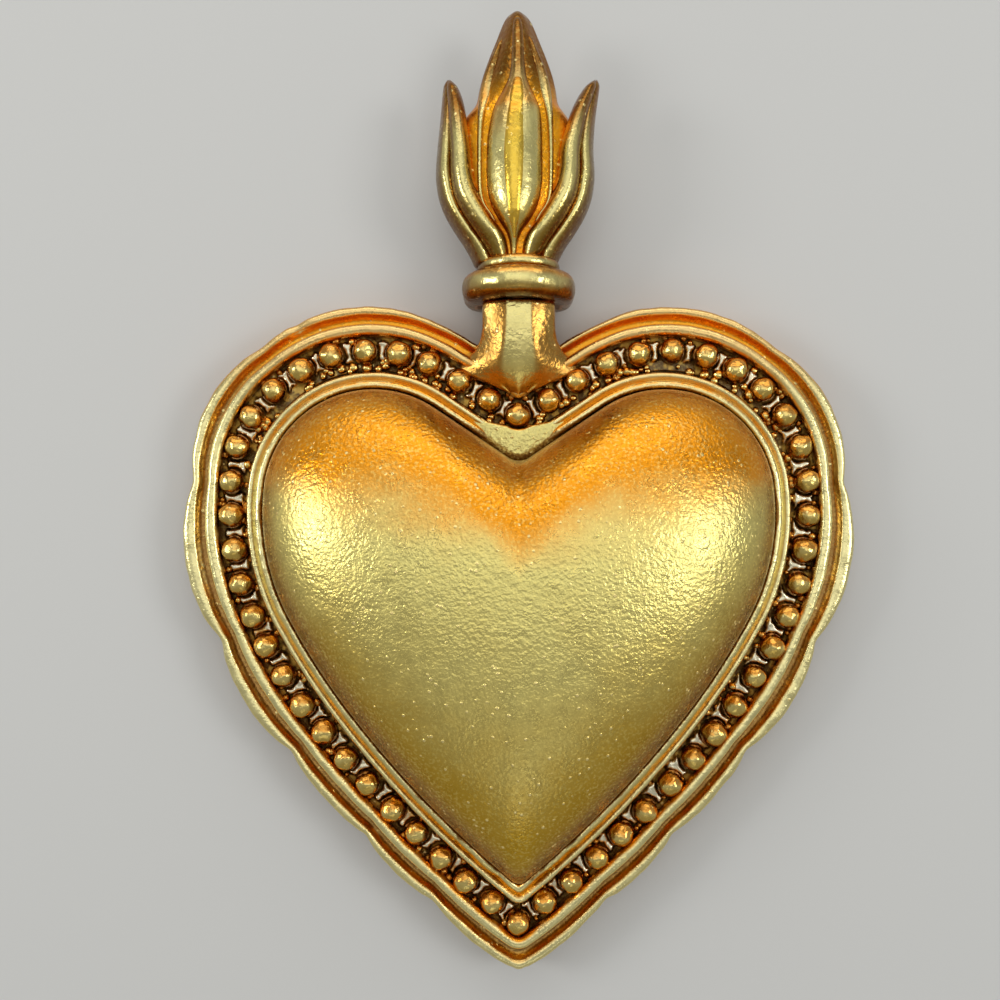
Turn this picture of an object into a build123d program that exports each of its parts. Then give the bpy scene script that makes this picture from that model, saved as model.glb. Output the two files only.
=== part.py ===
from build123d import *
import os
from math import asin, cos, degrees, pi, radians, sin

os.makedirs("parts", exist_ok=True)

# The charm lies on its back: X across the heart, Y towards the flame, Z towards the viewer.
# The origin is under the middle of the whole outline, on the surface the rim rests on.

# Bead line and dome line: hearts of tangent arcs, from the tip at the bottom up to the cleft.
# Each has the height of its tip, its slope there, and the radius and sweep of every arc.
# The dome's tip stays a fixed inset inside the beads' tip.
bead_tip = -44.4
bead_slope_angle = 39.0
bead_radii = (145.0, 62.0, 31.6, 14.6)
bead_sweep_angles = (10.5, 11.3, 34.0, 116.9)
dome_inset = 3.9
dome_tip = bead_tip + dome_inset
dome_slope_angle = 39.3
dome_radii = (111.0, 73.6, 23.4, 11.6)
dome_sweep_angles = (12.8, 9.4, 35.2, 117.1)

# Border, as widths outwards from the bead line
tray_edge = 0.24
ridge_width = 1.25
groove_width = 0.7
tip_softness = 0.75

# Beads
bead_count_half = 27
bead_radius = 1.3
bead_seat = 1.0
bead_room = 0.06

# Scallops: where the notches stand along the bead line, and the lip's width at each kind of place
notch_stations = (9.9, 18.5, 29.2, 41.7, 56.8, 69.3)
top_lobe_end = 84.7
notch_lip = 0.8
lobe_lips = (1.45, 1.5, 1.45, 1.9, 2.2, 1.6)
top_lobe_lip = 1.2
valley_lip = 0.65
tip_lip = 2.15
notch_round = 0.7

# Bezel rings, as widths outwards from the dome line
inner_ring_width = 0.75
outer_ring_width = 0.73
land_margin = 1.12
land_half_width = 2.3

# Thicknesses, stacked upwards from the resting surface
recess_depth = 2.4
plate_thickness = 0.8
flange_thickness = 1.0
lip_rise = 0.8
tray_thickness = 1.0
ridge_rise = 1.8
outer_ring_height = 3.0
inner_ring_height = 3.3
land_thickness = 1.9
lip_round = 0.35
groove_round = 0.15
ridge_round = 0.55
ring_round = 0.28

# Dome
dome_foot_height = 2.2
dome_rise = 11.0
dome_wall = 1.0
pillow_inset = 0.3
dome_centre = -9.0
dome_half_width = 24.0
dome_half_height = 26.0
dome_level_angles = (0, 14, 28, 42, 56, 70, 82)
dome_points = 10
dome_shoulder = 0.8
dome_crown = 0.9

# Torch: neck, collar, cap and flame follow each other along one axis parallel to Y
torch_height = 6.2
neck_top = 20.1
collar_width = 3.0
collar_radius = 5.9
collar_round = 1.1
cap_width = 1.3
cap_radius = 4.3
cap_round = 0.45
flame_length = 25.6
pin_radius = 1.6
pin_in_neck = 4.6
pin_in_flame = 7.6

# Hanger in the recess behind the back plate
hanger_y = 0.0
wire_radius = 0.57
hinge_room = 0.08
barrel_wall = 0.35
barrel_half_length = 2.4
loop_half_width = 4.0
loop_reach = 9.6
loop_corner = 1.4

# Places that follow from those sizes
bead_outline = (bead_tip, bead_slope_angle, tuple(zip(bead_radii, bead_sweep_angles)))
dome_outline = (dome_tip, dome_slope_angle, tuple(zip(dome_radii, dome_sweep_angles)))
bead_hole = bead_radius + bead_room
tray_reach = bead_hole + tray_edge
ridge_reach = tray_reach + ridge_width
groove_reach = ridge_reach + groove_width
outer_ring_reach = inner_ring_width + outer_ring_width
land_reach = outer_ring_reach + land_margin
plate_front = recess_depth + plate_thickness
flange_top = plate_front + flange_thickness
lip_top = flange_top + lip_rise
dome_foot_top = plate_front + dome_foot_height
dome_peak = dome_foot_top + dome_rise
collar_end = neck_top + collar_width
cap_end = collar_end + cap_width


def half_line(outline, grow):
    """The right half of a heart outline from tip to cleft, moved outwards by grow."""
    tip, slope, arcs = outline
    radius, sweep = arcs[0]
    start = degrees(asin(radius * sin(radians(slope)) / (radius + grow)))
    tip_y = tip + radius * cos(radians(slope)) - (radius + grow) * cos(radians(start))
    way = (cos(radians(start)), sin(radians(start)))
    with BuildLine(mode=Mode.PRIVATE) as line:
        edge = JernArc((0, tip_y), way, radius + grow, sweep + slope - start)
        for radius, sweep in arcs[1:]:
            edge = JernArc(edge @ 1, edge % 1, radius + grow, sweep)
        end, slope_end = edge @ 1, edge % 1
        Line(end, (0, end.Y - end.X * slope_end.Y / slope_end.X))
    return line


def heart(outline, grow, softness=0):
    """A whole heart face, moved outwards by grow, with its tip rounded by a share of that distance."""
    half = half_line(outline, grow)
    with BuildSketch(mode=Mode.PRIVATE) as face:
        with BuildLine():
            add(half.line)
            mirror(about=Plane.YZ)
        make_face()
        if softness:
            fillet(face.vertices().sort_by(Axis.Y)[0], softness * grow)
    return face.sketch


def beside(station, reach):
    """The point a reach outside the bead line, at a station along it from the tip."""
    place = bead_wire.position_at(station, position_mode=PositionMode.LENGTH)
    way = bead_wire.tangent_at(station, position_mode=PositionMode.LENGTH)
    return (place.X + reach * way.Y, place.Y - reach * way.X)


bead_wire = half_line(bead_outline, 0).wire()
bead_pitch = bead_wire.length / bead_count_half
bead_places = [(p.X, p.Y) for p in (bead_wire.position_at(n * bead_pitch, position_mode=PositionMode.LENGTH)
                                    for n in range(bead_count_half + 1))]
bead_places += [(-x, y) for x, y in bead_places[1:-1]]

tray_face = heart(bead_outline, tray_reach, tip_softness)
ridge_face = heart(bead_outline, ridge_reach, tip_softness)
groove_face = heart(bead_outline, groove_reach, tip_softness)
dome_face = heart(dome_outline, 0)
inner_ring_face = heart(dome_outline, inner_ring_width)
outer_ring_face = heart(dome_outline, outer_ring_reach)

# Scalloped outline: one arc per lobe, from notch to notch, with softened notches
cleft_y = (bead_wire @ 1).Y
cleft_slope = radians(bead_slope_angle + sum(bead_sweep_angles) - 180)
valley_y = cleft_y + (groove_reach + valley_lip) / cos(cleft_slope)
with BuildSketch() as scallop:
    with BuildLine():
        start = (0, bead_tip - groove_reach - tip_lip)
        station = 0
        for notch, lobe_lip in zip(notch_stations, lobe_lips):
            end = beside(notch, groove_reach + notch_lip)
            ThreePointArc(start, beside((station + notch) / 2, groove_reach + lobe_lip), end)
            start, station = end, notch
        end = beside(top_lobe_end, groove_reach + valley_lip)
        ThreePointArc(start, beside((station + top_lobe_end) / 2, groove_reach + top_lobe_lip), end)
        Line(end, (0, valley_y))
        mirror(about=Plane.YZ)
    make_face()
    notches = scallop.vertices().filter_by(lambda v: abs(v.X) > abs(end[0]) + notch_round)
    fillet(notches + [scallop.vertices().sort_by(Axis.Y)[0]], notch_round)
scallop_face = scallop.sketch

# Neck: flat-fronted stem whose foot runs down over the border to a point above the cleft bead.
# Sections down from its top: (distance, half width of the front facet, front, half width,
# top of the side, bottom of the side, back), with heights counted from the torch axis
neck_sections = (
    (0, 1.5, 4.1, 3.7, 1.6, -1.4, -3.8),
    (2.5, 1.5, 3.9, 3.8, 1.6, -1.4, -3.8),
    (4.9, 1.9, 3.1, 4.4, 1.0, -1.6, -3.6),
    (7.5, 2.0, 1.7, 4.6, -0.1, -1.8, -3.4),
    (9.9, 1.2, 0.2, 4.0, -0.8, -2.0, -3.2),
)
neck_back_half_width = 1.9

with BuildPart() as neck:
    for down, facet, front, half, side_top, side_bottom, back in neck_sections:
        with BuildSketch(Plane((0, neck_top - down, torch_height), x_dir=(1, 0, 0), z_dir=(0, -1, 0))):
            with BuildLine():
                Polyline(
                    (facet, front),
                    (half, side_top),
                    (half, side_bottom),
                    (neck_back_half_width, back),
                    (-neck_back_half_width, back),
                    (-half, side_bottom),
                    (-half, side_top),
                    (-facet, front),
                    close=True,
                )
            make_face()
    loft()
    with BuildSketch():
        add(scallop_face)
    extrude(amount=flange_top, mode=Mode.SUBTRACT)
    with BuildSketch():
        add(tray_face)
    extrude(amount=dome_peak, mode=Mode.SUBTRACT)
    with BuildSketch(Plane((0, neck_top, torch_height), x_dir=(1, 0, 0), z_dir=(0, -1, 0))):
        Circle(pin_radius)
    extrude(amount=pin_in_neck, mode=Mode.SUBTRACT)
neck.part.label = "neck"
export_step(neck.part, "parts/neck.step")

# Scalloped rim: lip and wall round the edge, with a flange inside that carries the border
with BuildPart() as scalloped_rim:
    with BuildSketch():
        add(scallop_face)
        add(groove_face, mode=Mode.SUBTRACT)
    extrude(amount=lip_top)
    lip = scalloped_rim.faces().sort_by(Axis.Z)[-1]
    fillet(lip.outer_wire().edges(), lip_round)
    lip = scalloped_rim.faces().sort_by(Axis.Z)[-1]
    fillet(lip.inner_wires()[0].edges(), groove_round)
    with BuildSketch(Plane.XY.offset(plate_front)):
        add(groove_face)
        add(outer_ring_face, mode=Mode.SUBTRACT)
    extrude(amount=flange_thickness)
    add(neck.part, mode=Mode.SUBTRACT)
scalloped_rim.part.label = "scalloped_rim"
export_step(scalloped_rim.part, "parts/scalloped_rim.step")

with BuildPart() as ridge_moulding:
    with BuildSketch(Plane.XY.offset(flange_top)):
        add(ridge_face)
        add(tray_face, mode=Mode.SUBTRACT)
    extrude(amount=ridge_rise)
    fillet(ridge_moulding.faces().sort_by(Axis.Z)[-1].edges(), ridge_round)
    add(neck.part, mode=Mode.SUBTRACT)
ridge_moulding.part.label = "ridge_moulding"
export_step(ridge_moulding.part, "parts/ridge_moulding.step")

# Cleft land: the flat V where both bezel rings meet under the cleft bead
with BuildPart() as cleft_land:
    with BuildSketch(Plane.XY.offset(flange_top)):
        add(heart(dome_outline, land_reach))
        add(dome_face, mode=Mode.SUBTRACT)
        with Locations((0, cleft_y)):
            Rectangle(2 * land_half_width, 2 * cleft_y, mode=Mode.INTERSECT)
    extrude(amount=land_thickness)
cleft_land.part.label = "cleft_land"
export_step(cleft_land.part, "parts/cleft_land.step")

# Bead tray: a strip pierced for every bead, so that bow-tie webs are left between them
with BuildPart() as bead_tray:
    with BuildSketch(Plane.XY.offset(flange_top)):
        add(tray_face)
        add(outer_ring_face, mode=Mode.SUBTRACT)
        with Locations(*bead_places):
            Circle(bead_hole, mode=Mode.SUBTRACT)
    extrude(amount=tray_thickness)
    add(cleft_land.part, mode=Mode.SUBTRACT)
bead_tray.part.label = "bead_tray"
export_step(bead_tray.part, "parts/bead_tray.step")

# Beads: balls with a flat seat on the flange
with BuildPart() as bead_row:
    with Locations(*[(x, y, flange_top + bead_seat) for x, y in bead_places]):
        Sphere(bead_radius)
    split(bisect_by=Plane.XY.offset(flange_top), keep=Keep.TOP)
bead_row.part.label = "bead_row"
export_step(bead_row.part, "parts/bead_row.step")

with BuildPart() as bezel_outer_ring:
    with BuildSketch(Plane.XY.offset(plate_front)):
        add(outer_ring_face)
        add(inner_ring_face, mode=Mode.SUBTRACT)
    extrude(amount=outer_ring_height)
    fillet(bezel_outer_ring.faces().sort_by(Axis.Z)[-1].edges(), ring_round)
    add(cleft_land.part, mode=Mode.SUBTRACT)
bezel_outer_ring.part.label = "bezel_outer_ring"
export_step(bezel_outer_ring.part, "parts/bezel_outer_ring.step")

with BuildPart() as bezel_inner_ring:
    with BuildSketch(Plane.XY.offset(plate_front)):
        add(inner_ring_face)
        add(dome_face, mode=Mode.SUBTRACT)
    extrude(amount=inner_ring_height)
    fillet(bezel_inner_ring.faces().sort_by(Axis.Z)[-1].edges(), ring_round)
    add(cleft_land.part, mode=Mode.SUBTRACT)
bezel_inner_ring.part.label = "bezel_inner_ring"
export_step(bezel_inner_ring.part, "parts/bezel_inner_ring.step")


def pillow_level(angle, inset):
    """One level of the pillow: a heart at the foot that turns into an oval towards the peak."""
    share = cos(radians(angle)) ** dome_shoulder
    height = dome_foot_top + (dome_rise - inset) * sin(radians(angle)) ** dome_crown
    wire = half_line(dome_outline, -inset - pillow_inset).wire()
    oval = 1 - share
    points = []
    for n in range(dome_points + 1):
        edge = wire.position_at(n / dome_points * wire.length, position_mode=PositionMode.LENGTH)
        turn = pi * n / dome_points
        across = (1 - oval) * edge.X + oval * dome_half_width * sin(turn)
        along = (1 - oval) * (edge.Y - dome_centre) - oval * dome_half_height * cos(turn)
        points.append((share * across, dome_centre + share * along))
    with BuildSketch(Plane.XY.offset(height), mode=Mode.PRIVATE) as level:
        with BuildLine():
            Spline(*points)
            mirror(about=Plane.YZ)
        make_face()
    return level.sketch


# Heart dome: a hollow pillow that stands on the back plate inside the bezel
with BuildPart() as heart_dome:
    with BuildSketch(Plane.XY.offset(plate_front)):
        add(dome_face)
    extrude(amount=dome_foot_height)
    loft([pillow_level(a, 0) for a in dome_level_angles] + [Vertex(0, dome_centre, dome_peak)])
    with BuildSketch(Plane.XY.offset(plate_front)):
        add(heart(dome_outline, -dome_wall))
    extrude(amount=dome_foot_height, mode=Mode.SUBTRACT)
    inside = [pillow_level(a, dome_wall) for a in dome_level_angles]
    loft(inside + [Vertex(0, dome_centre, dome_peak - dome_wall)], mode=Mode.SUBTRACT)
heart_dome.part.label = "heart_dome"
export_step(heart_dome.part, "parts/heart_dome.step")

with BuildPart() as back_plate:
    with BuildSketch(Plane.XY.offset(recess_depth)):
        add(groove_face)
    extrude(amount=plate_thickness)
back_plate.part.label = "back_plate"
export_step(back_plate.part, "parts/back_plate.step")

# Collar ring and cap turn round the torch axis
torch_plane = Plane((0, 0, torch_height), x_dir=(1, 0, 0), z_dir=(0, 0, 1))
torch_axis = Axis((0, 0, torch_height), (0, 1, 0))

with BuildPart() as collar_ring:
    with BuildSketch(torch_plane):
        with Locations((pin_radius, neck_top)):
            Rectangle(collar_radius - pin_radius, collar_width, align=Align.MIN)
    revolve(axis=torch_axis)
    fillet(collar_ring.edges().filter_by(GeomType.CIRCLE).group_by(SortBy.RADIUS)[-1], collar_round)
collar_ring.part.label = "collar_ring"
export_step(collar_ring.part, "parts/collar_ring.step")

with BuildPart() as collar_cap:
    with BuildSketch(torch_plane):
        with Locations((pin_radius, collar_end)):
            Rectangle(cap_radius - pin_radius, cap_width, align=Align.MIN)
    revolve(axis=torch_axis)
    fillet(collar_cap.edges().filter_by(GeomType.CIRCLE).group_by(SortBy.RADIUS)[-1], cap_round)
collar_cap.part.label = "collar_cap"
export_step(collar_cap.part, "parts/collar_cap.step")

with BuildPart() as torch_pin:
    with BuildSketch(torch_plane):
        with Locations((0, neck_top - pin_in_neck)):
            Rectangle(pin_radius, pin_in_neck + collar_width + cap_width + pin_in_flame, align=Align.MIN)
    revolve(axis=torch_axis)
torch_pin.part.label = "torch_pin"
export_step(torch_pin.part, "parts/torch_pin.step")

# Flame, as oval sections up from its foot: (distance, sideways, height over the torch axis,
# half width, half depth), each tongue closed by a tip (distance, sideways, height)
core_sections = (
    (0, 0, 0, 3.8, 3.0),
    (2, 0, 0, 4.7, 3.2),
    (4.6, 0, 0, 6.3, 3.5),
    (7.6, 0, 0, 7.0, 3.6),
    (10.6, 0, 0.2, 6.9, 3.4),
    (13.4, 0, 0.4, 6.2, 3.2),
    (15.6, 0, 0.6, 4.9, 3.0),
    (18, 0, 0.8, 3.9, 2.7),
    (20.4, 0, 0.8, 3.0, 2.4),
    (22.6, 0, 0.8, 2.0, 1.9),
    (24.6, 0, 0.8, 0.9, 1.0),
)
core_tip = (flame_length, 0, 0.8)
petal_sections = (
    (1.6, 0, 2, 0.5, 0.8),
    (4.1, 0, 2.8, 1.9, 1.8),
    (6.6, 0, 3, 2.75, 2.1),
    (10, 0, 3, 2.9, 2.1),
    (13.6, 0, 2.8, 2.75, 2.0),
    (16.8, 0, 2.6, 2.1, 1.7),
    (18.6, 0, 2.5, 1.4, 1.5),
)
petal_tip = (20.8, 0, 2.6)
rib_sections = (
    (2.4, 0, 3.4, 0.3, 0.4),
    (4.8, 0, 4.5, 0.75, 0.5),
    (7.6, 0, 5, 1.0, 0.55),
    (11, 0, 5, 1.05, 0.55),
    (15, 0, 4.5, 0.9, 0.5),
)
rib_tip = (18.8, 0, 3.7)
vein_sections = (
    (5, 2.6, 3.1, 0.25, 0.4),
    (7, 3.4, 3.1, 0.35, 0.5),
    (10.6, 3.55, 3.1, 0.35, 0.5),
    (13.6, 3.5, 2.8, 0.35, 0.5),
    (16, 3.35, 2.5, 0.35, 0.5),
    (18.2, 3.0, 2.3, 0.35, 0.45),
    (20.4, 2.3, 2.2, 0.3, 0.4),
)
vein_tip = (22.8, 1.4, 1.9)
inner_sections = (
    (0.8, 0.9, 1.6, 0.5, 0.8),
    (2, 1.75, 2.4, 0.85, 1.15),
    (3.6, 2.95, 2.65, 1.1, 1.4),
    (5.4, 4.15, 2.7, 1.12, 1.55),
    (7.4, 5.15, 2.6, 1.02, 1.65),
    (10.4, 5.6, 2.35, 0.96, 1.6),
    (13.4, 5.85, 2, 0.92, 1.5),
    (15.6, 6.15, 1.55, 0.85, 1.3),
    (17.4, 6.6, 1.1, 0.65, 0.9),
)
inner_tip = (19, 7.1, 0.6)
outer_sections = (
    (0.4, 2.6, 0, 0.9, 1.4),
    (1.4, 3.4, 0.2, 1.2, 1.8),
    (3, 4.6, 0.4, 1.3, 1.95),
    (5, 5.95, 0.55, 1.25, 2.0),
    (7.2, 6.9, 0.7, 1.08, 2.0),
    (9.2, 7.2, 0.7, 1.0, 2.0),
    (11.6, 7.1, 0.6, 0.95, 1.85),
    (14, 7.05, 0.5, 0.85, 1.5),
    (16.2, 7.1, 0.4, 0.7, 1.15),
)
outer_tip = (18.9, 7.5, 0.4)


def tongue(sections, tip):
    """Oval faces along a tongue of flame and the point that closes it, ready to loft."""
    faces = []
    for up, side, over, half_width, half_depth in sections:
        middle = (side, cap_end + up, torch_height + over)
        with BuildSketch(Plane(middle, x_dir=(1, 0, 0), z_dir=(0, -1, 0)), mode=Mode.PRIVATE) as oval:
            Ellipse(half_width, half_depth)
        faces.append(oval.sketch)
    up, side, over = tip
    return faces + [Vertex(side, cap_end + up, torch_height + over)]


with BuildPart() as flame_core:
    loft(tongue(core_sections, core_tip))
    add(torch_pin.part, mode=Mode.SUBTRACT)
flame_core.part.label = "flame_core"
export_step(flame_core.part, "parts/flame_core.step")

with BuildPart() as flame_petal:
    loft(tongue(petal_sections, petal_tip))
    add(flame_core.part, mode=Mode.SUBTRACT)
    add(torch_pin.part, mode=Mode.SUBTRACT)
flame_petal.part.label = "flame_petal"
export_step(flame_petal.part, "parts/flame_petal.step")

with BuildPart() as flame_rib:
    loft(tongue(rib_sections, rib_tip))
    add(flame_core.part, mode=Mode.SUBTRACT)
    add(flame_petal.part, mode=Mode.SUBTRACT)
flame_rib.part.label = "flame_rib"
export_step(flame_rib.part, "parts/flame_rib.step")

with BuildPart() as flame_veins:
    loft(tongue(vein_sections, vein_tip))
    for inner_piece in (flame_core, flame_petal):
        add(inner_piece.part, mode=Mode.SUBTRACT)
    mirror(about=Plane.YZ)
flame_veins.part.label = "flame_veins"
export_step(flame_veins.part, "parts/flame_veins.step")

with BuildPart() as flame_inner_right:
    loft(tongue(inner_sections, inner_tip))
    for inner_piece in (flame_core, flame_petal, flame_veins, torch_pin):
        add(inner_piece.part, mode=Mode.SUBTRACT)
flame_inner_right.part.label = "flame_inner_right"
export_step(flame_inner_right.part, "parts/flame_inner_right.step")

with BuildPart() as flame_inner_left:
    add(flame_inner_right.part)
    mirror(about=Plane.YZ, mode=Mode.REPLACE)
flame_inner_left.part.label = "flame_inner_left"
export_step(flame_inner_left.part, "parts/flame_inner_left.step")

with BuildPart() as flame_outer_right:
    loft(tongue(outer_sections, outer_tip))
    for inner_piece in (flame_core, flame_inner_right, torch_pin):
        add(inner_piece.part, mode=Mode.SUBTRACT)
flame_outer_right.part.label = "flame_outer_right"
export_step(flame_outer_right.part, "parts/flame_outer_right.step")

with BuildPart() as flame_outer_left:
    add(flame_outer_right.part)
    mirror(about=Plane.YZ, mode=Mode.REPLACE)
flame_outer_left.part.label = "flame_outer_left"
export_step(flame_outer_left.part, "parts/flame_outer_left.step")

# Hanger barrel: a short tube with a foot on the back of the plate
bore_radius = wire_radius + hinge_room
barrel_radius = bore_radius + barrel_wall
hinge_height = recess_depth - barrel_radius
hinge_plane = Plane((-barrel_half_length, hanger_y, hinge_height), x_dir=(0, 1, 0), z_dir=(1, 0, 0))

with BuildPart() as hanger_barrel:
    with BuildSketch(hinge_plane):
        Circle(barrel_radius)
        Rectangle(2 * barrel_radius, barrel_radius, align=(Align.CENTER, Align.MIN))
        Circle(bore_radius, mode=Mode.SUBTRACT)
    extrude(amount=2 * barrel_half_length)
hanger_barrel.part.label = "hanger_barrel"
export_step(hanger_barrel.part, "parts/hanger_barrel.step")

# Hanger loop: a bar through the barrel, closed by two legs and a round end towards the flame
with BuildPart() as hanger_loop:
    with BuildLine(Plane.XY.offset(hinge_height)):
        bar = Line((0, hanger_y), (loop_half_width - loop_corner, hanger_y))
        bend = JernArc(bar @ 1, bar % 1, loop_corner, 90)
        leg = Line(bend @ 1, (loop_half_width, hanger_y + loop_reach - loop_half_width))
        JernArc(leg @ 1, leg % 1, loop_half_width, 90)
    with BuildSketch(Plane((0, hanger_y, hinge_height), x_dir=(0, 1, 0), z_dir=(1, 0, 0))):
        Circle(wire_radius)
    sweep()
    mirror(about=Plane.YZ)
hanger_loop.part.label = "hanger_loop"
export_step(hanger_loop.part, "parts/hanger_loop.step")
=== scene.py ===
# %% [markdown]
# Flaming-heart charm, dressed in gilding.
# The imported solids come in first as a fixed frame. Every piece below is made in that frame, in metres,
# with X across the heart, Y towards the flame and Z towards the viewer.
# The charm's own lengths are written in millimetres, and multiplied by mm where they reach a mesh.

# %% Load the frame
import math
import random
from collections import namedtuple

import bmesh
import bpy
import numpy as np
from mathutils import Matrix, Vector, noise
from mathutils.bvhtree import BVHTree


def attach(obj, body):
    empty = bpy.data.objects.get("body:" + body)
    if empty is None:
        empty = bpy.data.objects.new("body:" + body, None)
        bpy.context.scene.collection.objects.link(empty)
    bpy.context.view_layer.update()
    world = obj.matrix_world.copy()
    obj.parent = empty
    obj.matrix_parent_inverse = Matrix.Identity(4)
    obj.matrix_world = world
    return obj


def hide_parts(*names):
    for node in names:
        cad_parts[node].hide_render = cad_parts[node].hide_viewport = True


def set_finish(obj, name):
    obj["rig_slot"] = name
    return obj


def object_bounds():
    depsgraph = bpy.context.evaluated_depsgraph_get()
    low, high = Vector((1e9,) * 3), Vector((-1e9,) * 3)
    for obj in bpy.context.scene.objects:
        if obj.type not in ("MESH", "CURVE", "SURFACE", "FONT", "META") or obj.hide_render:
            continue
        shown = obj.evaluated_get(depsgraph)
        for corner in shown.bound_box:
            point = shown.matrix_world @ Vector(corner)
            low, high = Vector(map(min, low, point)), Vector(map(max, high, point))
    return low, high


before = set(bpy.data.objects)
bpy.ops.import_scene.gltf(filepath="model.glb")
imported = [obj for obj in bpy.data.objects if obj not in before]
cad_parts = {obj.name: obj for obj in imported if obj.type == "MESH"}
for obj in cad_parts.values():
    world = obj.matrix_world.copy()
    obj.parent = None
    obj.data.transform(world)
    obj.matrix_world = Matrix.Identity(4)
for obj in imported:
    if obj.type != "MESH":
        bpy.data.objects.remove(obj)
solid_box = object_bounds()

mm = 0.001


def box_in_mm(box):
    return [[round(c / mm, 2) for c in corner] for corner in box]


print("solids:", len(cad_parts), "box in mm:", box_in_mm(solid_box))

# %% [markdown]
# The photograph was taken from close above, straight down, so parts nearer to the lens look larger.
# A camera with the same closeness gives the same look. A small shift puts the charm where it is in the frame.

# %% Camera
camera = bpy.data.objects.new("camera", bpy.data.cameras.new("camera"))
camera.data.sensor_width = 36
camera.data.lens = 38.4
camera.data.shift_x = -0.010
camera.data.shift_y = 0.040
camera.data.clip_start = 0.005
camera.location = (-0.9 * mm, -4.4 * mm, 117 * mm)
bpy.context.scene.collection.objects.link(camera)
bpy.context.scene.camera = camera
print("camera height in mm:", round(camera.location.z / mm, 1))

# %% [markdown]
# A pale floor and a few large soft lamps stand in for a small photo tent.
# Gold shows little but what it mirrors, so the lamps are placed by what the dome should reflect:
# one on each side for the two soft highlights, one beyond the flame, a wide weak one overhead,
# and a faint one on the near side for the lower half. Their places and sizes are in metres.

# %% Floor and light
bpy.context.scene.view_settings.view_transform = "Standard"


def set_inputs(node, values):
    """Sets some of a shader node's inputs by name."""
    for key, value in values.items():
        node.inputs[key].default_value = value


def soft_lamp(name, place, size, watts):
    """A rectangular lamp that looks at the charm."""
    lamp = bpy.data.objects.new(name, bpy.data.lights.new(name, "AREA"))
    lamp.data.shape = "RECTANGLE"
    lamp.data.size, lamp.data.size_y = size
    lamp.data.energy = watts
    lamp.location = place
    lamp.rotation_euler = (-Vector(place)).to_track_quat("-Z", "Y").to_euler()
    bpy.context.scene.collection.objects.link(lamp)


soft_lamp("lamp_left", (-0.34, 0.05, 0.22), (0.13, 0.13), 0.36)
soft_lamp("lamp_right", (0.31, 0.02, 0.31), (0.16, 0.14), 0.36)
soft_lamp("lamp_far", (0.0, 0.38, 0.23), (0.60, 0.24), 0.64)
soft_lamp("lamp_overhead", (0.0, 0.14, 0.55), (0.50, 0.40), 0.50)
soft_lamp("lamp_near", (0.02, -0.36, 0.34), (0.22, 0.16), 0.06)

tent = bpy.data.worlds.new("tent")
bpy.context.scene.world = tent
tent.use_nodes = True
set_inputs(tent.node_tree.nodes["Background"], {"Color": (0.9, 0.9, 0.88, 1), "Strength": 0.40})

floor_shape = bmesh.new()
bmesh.ops.create_grid(floor_shape, x_segments=1, y_segments=1, size=0.9)
floor_mesh = bpy.data.meshes.new("floor")
floor_shape.to_mesh(floor_mesh)
floor_shape.free()
floor = bpy.data.objects.new("floor", floor_mesh)
floor_paint = bpy.data.materials.new("floor_paint")
floor_paint.use_nodes = True
floor_shader = floor_paint.node_tree.nodes["Principled BSDF"]
set_inputs(floor_shader, {"Base Color": (0.62, 0.62, 0.60, 1), "Roughness": 0.9})
floor_mesh.materials.append(floor_paint)
bpy.context.scene.collection.objects.link(floor)

# %% [markdown]
# Two heart lines carry the whole border: one runs through the beads, the other round the dome.
# Each is a chain of arcs that meet smoothly, drawn from the tip at the bottom up to the cleft, then mirrored.
# A line moved outwards keeps the same arc centres, so any moulding can be drawn at its own distance.

# %% Heart lines
# the tip's Y, the first heading in degrees, and the radius and sweep of each arc
bead_line = {"tip": -44.4, "slope": 39.0, "arcs": ((145.0, 10.5), (62.0, 11.3), (31.6, 34.0), (14.6, 116.9))}
dome_line = {"tip": -40.5, "slope": 39.3, "arcs": ((111.0, 12.8), (73.6, 9.4), (23.4, 35.2), (11.6, 117.1))}
round_steps = 6
Spot = namedtuple("Spot", "side run share station")


def way_out(heading):
    """The outward direction beside a line that runs along this heading, in degrees."""
    turn = math.radians(heading)
    return Vector((math.sin(turn), -math.cos(turn)))


def lay_out(line):
    """Adds the centre and first heading of each arc, and where the last straight run starts."""
    heading = line["slope"]
    place = Vector((0, line["tip"]))
    line["runs"] = []
    for radius, sweep in line["arcs"]:
        centre = place - radius * way_out(heading)
        line["runs"].append((centre, radius, heading, sweep))
        heading += sweep
        place = centre + radius * way_out(heading)
    line["last"] = (place, heading)
    arc_length = sum(math.radians(sweep) * radius for radius, sweep in line["arcs"])
    line["length"] = arc_length + place.x / -math.cos(math.radians(heading))


def heart_spots(line, step):
    """Spots along a whole heart, with the share of the run and the station in mm from the tip."""
    half = [Spot(1, "tip", n / round_steps, 0.0) for n in range(round_steps)]
    station = 0.0
    for n, (radius, sweep) in enumerate(line["arcs"]):
        length = math.radians(sweep) * radius
        count = math.ceil(length / step)
        half += [Spot(1, n, k / count, station + length * k / count) for k in range(count)]
        station += length
    length = line["length"] - station
    count = math.ceil(length / step)
    half += [Spot(1, "straight", k / count, station + length * k / count) for k in range(count)]
    half += [Spot(1, "cleft", n / round_steps, line["length"]) for n in range(round_steps + 1)]
    return half + [spot._replace(side=-1) for spot in half[-2::-1]]


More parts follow.
